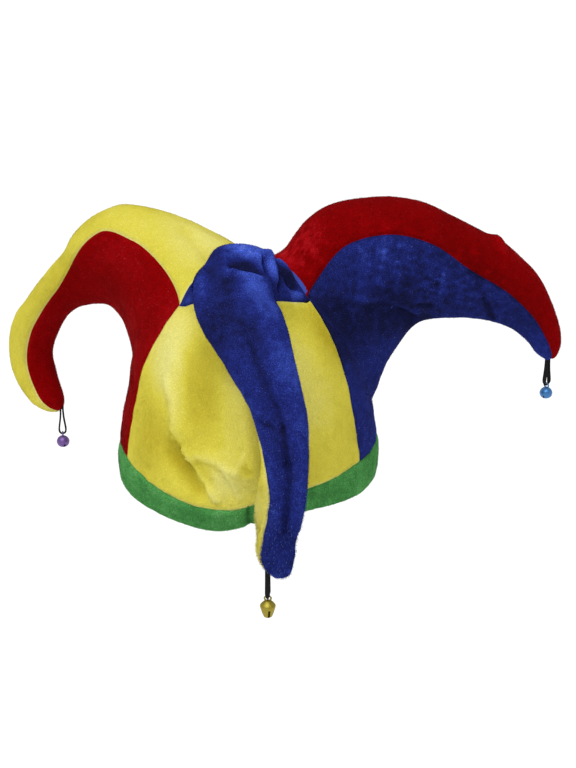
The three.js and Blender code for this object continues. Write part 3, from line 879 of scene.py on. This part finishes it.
def velour(name, dress, pile=False):
    """Short-pile velour: pale in painted highlight, deep in painted shade in its folds, a little
    crushed, with a fine grain.
    """
    material, tree, shader = new_material(name)
    patches = math_node(tree, "SUBTRACT", noise_node(tree, CRUSH_SCALE), 0.5)
    crushed = math_node(tree, "MULTIPLY", patches, dress.crush * 2)
    # The paleness with its painted light and shade, plus the crushed patches
    shaded_and_crushed = math_node(tree, "ADD", attribute_node(tree, "wear_and_shading"), crushed)
    scaled = math_node(tree, "MULTIPLY", shaded_and_crushed, PALE_STOP)
    shade = ramp_node(tree, scaled, [
        (0, linear(dress.deep)),
        (WOVEN_STOP * PALE_STOP, linear(dress.middle)),
        (PALE_STOP, linear(dress.pale)),
        (1, linear(dress.glint)),
    ])
    grain = noise_node(tree, GRAIN_SCALE)
    specks = ramp_node(tree, grain, [(place, grey(value)) for place, value in GRAIN_STOPS])
    shade = multiply_node(tree, dress.grain, shade, specks)
    if pile:
        # Painted shade towards a blade's root and a painted highlight towards its tip
        stops = [(place, grey(value)) for place, value in BLADE_SHADE_STOPS]
        height = ramp_node(tree, attribute_node(tree, "tip"), stops)
        shade = multiply_node(tree, 1.0, shade, height)
    else:
        tree.links.new(bump_node(tree, grain, 0.0005, 0.5), shader.inputs["Normal"])
    tree.links.new(shade, shader.inputs["Base Color"])
    shader.inputs["Roughness"].default_value = 0.9
    shader.inputs["Specular IOR Level"].default_value = 0.03
    shader.inputs["Sheen Weight"].default_value = 0.3
    shader.inputs["Sheen Roughness"].default_value = 0.4
    shader.inputs["Sheen Tint"].default_value = linear(dress.middle, 1.5)
    return material


def backing(name, dress):
    """The velour's plain knitted reverse."""
    material, tree, shader = new_material(name)
    loops = noise_node(tree, KNIT_SCALE)
    cloud = noise_node(tree, CLOUD_SCALE, 3)
    shade = ramp_node(tree, cloud, [(0.3, linear(dress.middle, 0.8)), (0.7, linear(dress.pale, 0.95))])
    tree.links.new(shade, shader.inputs["Base Color"])
    tree.links.new(bump_node(tree, loops, 0.0005, 0.6), shader.inputs["Normal"])
    shader.inputs["Roughness"].default_value = 0.95
    return material


def metal(name, colour, metallic, roughness):
    """Stamped bell metal with small dents and a worn, uneven polish."""
    material, tree, shader = new_material(name)
    dents = noise_node(tree, DENT_SCALE, 3)
    wear_and_shading = noise_node(tree, POLISH_SCALE, 4, 1.0)
    shade = ramp_node(tree, wear_and_shading, [(0.35, linear(colour, 0.8)), (0.65, linear(colour, 1.15))])
    polish = ramp_node(tree, wear_and_shading, [(0.3, grey(roughness - 0.08)), (0.7, grey(roughness + 0.12))])
    tree.links.new(shade, shader.inputs["Base Color"])
    tree.links.new(polish, shader.inputs["Roughness"])
    tree.links.new(bump_node(tree, dents, 0.0004, 0.25), shader.inputs["Normal"])
    shader.inputs["Metallic"].default_value = metallic
    return material


def cord_cover(name):
    """Black woven cover of the flat cord."""
    material, tree, shader = new_material(name)
    weave = noise_node(tree, WEAVE_SCALE)
    shade = ramp_node(tree, weave, [(0.3, linear(CORD_BLACK, 0.6)), (0.7, linear(CORD_BLACK, 1.6))])
    tree.links.new(shade, shader.inputs["Base Color"])
    tree.links.new(bump_node(tree, weave, 0.0003, 0.6), shader.inputs["Normal"])
    shader.inputs["Roughness"].default_value = 0.8
    shader.inputs["Specular IOR Level"].default_value = 0.2
    return material


faces = {key: velour(f"{key} velour", dress) for key, dress in VELOURS.items()}
piles = {key: velour(f"{key} pile", dress, True) for key, dress in VELOURS.items()}
backings = {key: backing(f"{key} backing", dress) for key, dress in VELOURS.items()}
black_cord = cord_cover("black cord")


# Pile
def pile_blades(points, normals, wear_and_shading, seed):
    """Corners of a thin blade for each fibre, which lean towards the grid's last row, with its
    paleness and the direction that shades it."""
    rng = np.random.default_rng(seed)
    quads = grid_quads(*points.shape[:2])
    corners = points.reshape(-1, 3)[quads]
    facing = normals.reshape(-1, 3)[quads]
    spans = np.cross(corners[:, 2] - corners[:, 0], corners[:, 3] - corners[:, 1])
    area = np.linalg.norm(spans, axis=1) / 2
    count = int(area.sum() * PILE_DENSITY)
    pick = rng.choice(len(quads), count, p=area / area.sum())
    a, b = rng.random((2, count, 1))
    weights = np.stack([(1 - a) * (1 - b), a * (1 - b), a * b, (1 - a) * b], 1)
    root = (corners[pick] * weights).sum(1)
    normal = unit((facing[pick] * weights).sum(1))
    nap = unit(corners[pick, 3] - corners[pick, 0])
    cross = np.cross(normal, nap)
    turn = lumps(root, NAP_TURN)[:, None]
    lean = PILE_LEAN * (1 + lumps(root, NAP_LEAN)[:, None])
    way = normal + lean * (nap * np.cos(turn) + cross * np.sin(turn))
    way = unit(way + rng.normal(scale=PILE_TOUSLE, size=way.shape))
    length = PILE_LENGTH * rng.uniform(*PILE_SPREAD, (count, 1))
    length *= 1 + SHAGGY_GAIN * near(root, SHAGGY, SHAGGY_REACH)[:, None]
    twist = rng.normal(scale=PILE_TWIST, size=way.shape)
    side = unit(unit(np.cross(way, normal)) + twist) * PILE_WIDTH / 2
    root = root - normal * PILE_SUNK
    blades = np.stack([root - side, root + side, root + way * length], 1) * MM
    pale = wear_and_shading.reshape(-1)[quads[pick, 0]] + rng.normal(scale=PILE_UNEVEN, size=count)
    # A share of the fibres get a painted highlight, as glints
    pale += (rng.random(count) < PILE_GLINTS) * rng.uniform(*GLINT_GAINS, count)
    return blades, pale, normal * SHADE_OF_CLOTH + way * SHADE_OF_FIBRE


def pile_piece(name, points, normals, wear_and_shading, seed, material):
    """Short fibres all over a grid's outside."""
    blades, pale, shading = pile_blades(points, normals, wear_and_shading, seed)
    count = len(blades)
    mesh = bpy.data.meshes.new(name)
    mesh.vertices.add(count * 3)
    mesh.vertices.foreach_set("co", blades.astype(np.float32).ravel())
    mesh.loops.add(count * 3)
    mesh.loops.foreach_set("vertex_index", np.arange(count * 3, dtype=np.int32))
    mesh.polygons.add(count)
    mesh.polygons.foreach_set("loop_start", np.arange(0, count * 3, 3, dtype=np.int32))
    mesh.update(calc_edges=True)
    tips = mesh.attributes.new("tip", "FLOAT", "POINT")
    tips.data.foreach_set("value", np.tile(np.array([0, 0, 1], np.float32), count))
    shades = mesh.attributes.new("wear_and_shading", "FLOAT", "POINT")
    shades.data.foreach_set("value", np.repeat(np.clip(pale, 0, 1 / PALE_STOP), 3).astype(np.float32))
    cells = math.ceil(math.sqrt(count))
    cell = np.stack([np.arange(count) % cells, np.arange(count) // cells], -1)[:, None]
    spots = (cell + np.array(BLADE_SPOT)) / cells
    mesh.uv_layers.new(name="OFBake").uv.foreach_set("vector", spots.astype(np.float32).ravel())
    mesh.shade_smooth()
    mesh.normals_split_custom_set_from_vertices(unit(np.repeat(shading, 3, axis=0)).tolist())
    mesh.materials.append(material)
    return add_object(name, mesh)


# Panels and strips
def wear_on_hat(pieces, node):
    """Hides the node's part and hangs all the pieces, in one colour, on the hat."""
    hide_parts(node)
    for piece in pieces:
        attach(piece, "hat")


for seed, (name, cut) in enumerate(CUTS.items()):
    points, normals, wear_and_shading = grids[name], cloth_normals[name], cloth_wear_and_shading[name]
    inner = inner_side(points, normals)
    turned = name.startswith("strip")
    face = face_piece(f"{name}_cloth", points, inner, wear_and_shading, faces[cut.colour], turned)
    back = back_piece(f"{name}_backing", inner, backings[cut.colour], turned)
    pile = pile_piece(f"{name}_pile", points, normals, wear_and_shading, seed, piles[cut.colour])
    wear_on_hat([face, back, pile], name)


# Rim band
def band_grid():
    """Points of the band, rows round its section from the top seam outside to the top inside."""
    azimuth = np.linspace(-180, 180, BAND_STEPS + 1)
    low, top, tuck = look_up(RIM, azimuth).T
    middle = (low + top) / 2
    profile = (
        (top + 1.2, SEAM_DEPTH + 1.3),
        (top - 0.1, SEAM_DEPTH),
        (top - 1, SEAM_DEPTH * 0.4),
        (top - 2.2, 0),
        (top - 5, tuck * 0.1 - 0.4),
        (middle, tuck * 0.4 - 0.6),
        (low + 4, tuck * 0.85 - 0.3),
        (low + 1.4, tuck),
        (low + 0.3, tuck + 0.6),
        (low, tuck + BAND_WALL / 2),
        (low + 0.5, tuck + BAND_WALL - 0.4),
        (low + 2, tuck + BAND_WALL),
        (middle, tuck * 0.4 + BAND_WALL),
        (top - 1.5, BAND_WALL),
        (top - 0.3, BAND_WALL - 0.5),
    )
    rows = []
    for height, inset in profile:
        point = crown_point(azimuth, height)
        reach = np.hypot(point[:, 0], point[:, 1])
        point[:, :2] *= (1 - inset / reach)[:, None]
        rows.append(point)
    closed = np.array(rows[-2:] + rows + rows[:3])
    return curve(closed, 2 + np.arange(0, len(rows), 1 / BAND_FINENESS))


def band_shift(points):
    """Small lumps, and the groove where the band's two ends are sewn together."""
    across = (points[..., 0] - BAND_SEAM) / BAND_SEAM_WIDTH
    seam = np.exp(-(across ** 2)) * (points[..., 1] < 0)
    return lumps(points, BAND_BROAD) + lumps(points, BAND_FINE) - BAND_SEAM_DEPTH * seam


band = band_grid()
band_normals = unit(np.cross(np.gradient(band, axis=0), np.gradient(band, axis=1)))
band_lift = band_shift(band)
band = band + band_normals * band_lift[..., None]
# The band's lumps and seam groove paint light and shade into its paleness, darkest in the groove
band_wear_and_shading = paleness(band, BAND_LIFT_GAIN * band_lift)
band_faces = grid_quads(len(band) + 1, BAND_STEPS + 1)[:, ::-1] % (len(band) * (BAND_STEPS + 1))
band_piece = add_piece(
    "band_cloth", band.reshape(-1, 3), band_faces, [faces["green"]], wear_and_shading=band_wear_and_shading.ravel()
)
outside = slice(BAND_FINENESS, BAND_OUTER_ROWS * BAND_FINENESS + 1)
band_pile = pile_piece(
    "band_pile", band[outside], band_normals[outside], band_wear_and_shading[outside], len(CUTS), piles["green"]
)
wear_on_hat([band_piece, band_pile], "band")


# Cord loops and bells
def loop_frame(loop):
    """Directions along and across a loop's plane."""
    angle = math.radians(loop.turn)
    along = np.array([math.cos(angle), math.sin(angle), 0])
    return along, np.array([-along[1], along[0], 0])


def cord_line(loop):
    """Centreline of a loop, from inside the horn's tip down through the eye and back up."""
    half = np.array(LOOP_ROUTE) * (1, LOOP_DROP)
    half = np.concatenate([[(half[0, 0], -CORD_TUCK)], half])
    route = np.concatenate([half * (-1, 1), half[-2::-1]])
    side, drop = curve(route, np.linspace(0, len(route) - 1, CORD_STEPS + 1)).T[..., None]
    along, _ = loop_frame(loop)
    return np.array(loop.top) + side * along - drop * UP, drop


def cord_piece(name, loop):
    """The flat cord as a closed ribbon along its line; also gives that line."""
    line, drop = cord_line(loop)
    _, across = loop_frame(loop)
    thin = unit(np.cross(across, np.gradient(line, axis=0)))
    width = lerp(CORD_WIDTH, CORD_AT_EYE, np.exp(-(((drop - LOOP_DROP) / CORD_DRAWN) ** 2)))
    turn = np.linspace(0, 2 * np.pi, CORD_SIDES, endpoint=False)[:, None]
    flat = np.sign(np.cos(turn)) * abs(np.cos(turn)) ** CORD_SQUARE
    deep = np.sign(np.sin(turn)) * abs(np.sin(turn)) ** CORD_SQUARE
    rings = line[:, None] + flat * width[:, None] / 2 * across + deep * CORD_THICK / 2 * thin[:, None]
    index = np.arange((CORD_STEPS + 1) * CORD_SIDES).reshape(CORD_STEPS + 1, CORD_SIDES)
    after = np.roll(index, -1, axis=1)
    sides = np.stack([index[:-1], after[:-1], after[1:], index[1:]], -1).reshape(-1, 4)
    quads = [list(quad) for quad in sides] + [list(index[0, ::-1]), list(index[-1])]
    return add_piece(name, rings.reshape(-1, 3), quads, [black_cord]), line


def lathe(profile, steps):
    """Points and faces of a closed shape turned about Z; the profile starts and ends on the axis."""
    profile = np.array(profile, float)
    angle = np.linspace(0, 2 * np.pi, steps, endpoint=False)
    ring = np.stack([np.cos(angle), np.sin(angle)], -1)
    body = profile[1:-1]
    sides = np.concatenate([
        np.concatenate([radius * ring, np.full((steps, 1), height)], 1) for radius, height in body
    ])
    points = np.concatenate([sides, [(0, 0, profile[0, 1]), (0, 0, profile[-1, 1])]])
    index = np.arange(len(sides)).reshape(len(body), steps)
    after = np.roll(index, -1, axis=1)
    quads = np.stack([index[:-1], index[1:], after[1:], after[:-1]], -1).reshape(-1, 4).tolist()
    top, bottom = len(sides), len(sides) + 1
    quads += [[top, a, b] for a, b in zip(index[0], after[0])]
    quads += [[bottom, b, a] for a, b in zip(index[-1], after[-1])]
    return points, quads


def box_cutter(half_x, half_y, low, high):
    points = [(x, y, z) for z in (low, high) for x in (-half_x, half_x) for y in (-half_y, half_y)]
    quads = [(0, 1, 3, 2), (4, 6, 7, 5), (0, 4, 5, 1), (2, 3, 7, 6), (0, 2, 6, 4), (1, 5, 7, 3)]
    return np.array(points, float), quads


def rod_cutter(radius, half_length):
    ends = half_length, -half_length
    points, quads = lathe([(0, ends[0]), (radius, ends[0]), (radius, ends[1]), (0, ends[1])], ROD_STEPS)
    return points[:, [2, 0, 1]], quads


def cut_away(piece, cutters):
    """Takes the cutters' shapes out of a piece."""
    for points, quads in cutters:
        cutter = add_piece("cutter", points, quads, [])
        modifier = piece.modifiers.new("cut", "BOOLEAN")
        modifier.operation = "DIFFERENCE"
        modifier.solver = "EXACT"
        modifier.object = cutter
        graph = bpy.context.evaluated_depsgraph_get()
        cut = bpy.data.meshes.new_from_object(piece.evaluated_get(graph))
        piece.modifiers.clear()
        piece.data = cut
        bpy.data.objects.remove(cutter)


def eye_ring():
    """The wire eye on top of a bell, its hole along X."""
    big, small = EYE_STEPS
    round_turn = np.linspace(0, 2 * np.pi, big, endpoint=False)[:, None]
    wire_turn = np.linspace(0, 2 * np.pi, small, endpoint=False)[None]
    reach = EYE_RADIUS + EYE_WIRE * np.cos(wire_turn)
    x = np.broadcast_to(EYE_WIRE * np.sin(wire_turn), (big, small))
    y = EYE_BREADTH * reach * np.cos(round_turn)
    points = np.stack([x, y, EYE_HEIGHT + reach * np.sin(round_turn)], -1)
    index = np.arange(big * small).reshape(big, small)
    across, after = np.roll(index, -1, axis=0), np.roll(index, -1, axis=1)
    quads = np.stack([index, after, np.roll(across, -1, axis=1), across], -1)
    return points.reshape(-1, 3), quads.reshape(-1, 4).tolist()


def bell_piece(name, loop, shell_line, material):
    """A stamped jingle bell: a thin shell, crossed slots with round ends, and its eye."""
    outer = np.array(shell_line)
    inner_radius = np.maximum(outer[:, 0] - BELL_WALL, 0)
    inner = np.stack([inner_radius, outer[:, 1] * (1 - BELL_WALL / outer[0, 1])], -1)
    points, quads = lathe(outer, BELL_STEPS)
    hollow, hollow_quads = lathe(inner, BELL_STEPS)
    piece = add_piece(name, points, quads, [material])
    reach = 2 * outer[:, 0].max()
    slot = box_cutter(reach, SLOT_WIDTH / 2, outer[-1, 1] + BELL_WALL, SLOT_TOP)
    rod, rod_quads = rod_cutter(SLOT_HOLE, reach)
    ends = rod + (0, 0, SLOT_TOP)
    swap = [1, 0, 2]
    cut_away(piece, [
        (hollow, hollow_quads),
        slot,
        (slot[0][:, swap], [quad[::-1] for quad in slot[1]]),
        (ends, rod_quads),
        (ends[:, swap], [quad[::-1] for quad in rod_quads]),
    ])
    eye_points, eye_quads = eye_ring()
    shell = piece.data
    count = len(shell.vertices)
    turn = math.radians(SLOT_TURN)
    cosine, sine = math.cos(turn), math.sin(turn)
    turned = np.array([[cosine, sine, 0], [-sine, cosine, 0], [0, 0, 1]])
    shell_points = np.array([vertex.co for vertex in shell.vertices]) / MM
    places = np.concatenate([shell_points @ turned, eye_points])
    quads = [list(polygon.vertices) for polygon in shell.polygons]
    quads += [[count + corner for corner in quad] for quad in eye_quads]
    bpy.data.objects.remove(piece)
    along, across = loop_frame(loop)
    middle = np.array(loop.top) - (0, 0, LOOP_DROP + BELL_DROP)
    placed = places[:, :1] * along + places[:, 1:2] * across + places[:, 2:] * UP + middle
    bell = add_piece(name, placed, quads, [material])
    bell.data.set_sharp_from_angle(angle=math.radians(BELL_SHARP))
    return bell


Bell = namedtuple("Bell", "slot shell colour metallic roughness")
BELLS = {
    "front": Bell("gold_metal", PEAR_SHELL, GOLD, 0.9, 0.48),
    "left": Bell("purple_metal", ROUND_SHELL, PURPLE, 0.5, 0.42),
    "right": Bell("sky_blue_metal", ROUND_SHELL, SKY_BLUE, 0.5, 0.34),
}
for side, loop in LOOPS.items():
    make = BELLS[side]
    finish = metal(f"{side} bell", make.colour, make.metallic, make.roughness)
    bell = bell_piece(f"jingle_{side}", loop, make.shell, finish)
    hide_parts(f"bell_{side}")
    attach(bell, f"{side}_bell")
    cord, line = cord_piece(f"loop_{side}", loop)
    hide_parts(f"cord_{side}")
    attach(cord, "hat")


# Stage, light and camera
def add_sun(name, place, strength):
    """A wide, soft lamp that lights hat and floor evenly from the direction of place."""
    light = bpy.data.lights.new(name, "SUN")
    light.energy = strength
    light.angle = math.radians(KEY_WIDTH)
    lamp = add_object(name, light)
    lamp.location = place
    lamp.rotation_euler = (-Vector(place)).to_track_quat("-Z", "Y").to_euler()


def add_floor():
    half, height = FLOOR_HALF / MM, FLOOR_HEIGHT / MM
    material, _, shader = new_material("floor")
    shader.inputs["Base Color"].default_value = grey(FLOOR_GREY)
    shader.inputs["Roughness"].default_value = 0.9
    around = (-half, -half), (half, -half), (half, half), (-half, half)
    corners = [(x, y, height) for x, y in around]
    add_piece("floor", corners, [(0, 1, 2, 3)], [material])


def add_sky():
    world = bpy.data.worlds.new("studio")
    world.use_nodes = True
    background = world.node_tree.nodes["Background"]
    background.inputs["Color"].default_value = grey(1)
    background.inputs["Strength"].default_value = SKY_STRENGTH
    bpy.context.scene.world = world


def add_camera():
    azimuth, elevation = math.radians(CAMERA_AZIMUTH), math.radians(CAMERA_ELEVATION)
    flat = math.cos(elevation)
    back = Vector((math.sin(azimuth) * flat, -math.cos(azimuth) * flat, math.sin(elevation)))
    data = bpy.data.cameras.new("camera")
    data.lens = CAMERA_LENS
    camera = add_object("camera", data)
    camera.location = CAMERA_TARGET + back * CAMERA_DISTANCE
    camera.rotation_euler = (-back).to_track_quat("-Z", "Y").to_euler()
    bpy.context.scene.camera = camera


bpy.context.scene.view_settings.view_transform = "Standard"
add_sky()
add_floor()
add_sun("key", KEY_FROM, KEY_STRENGTH)
add_camera()
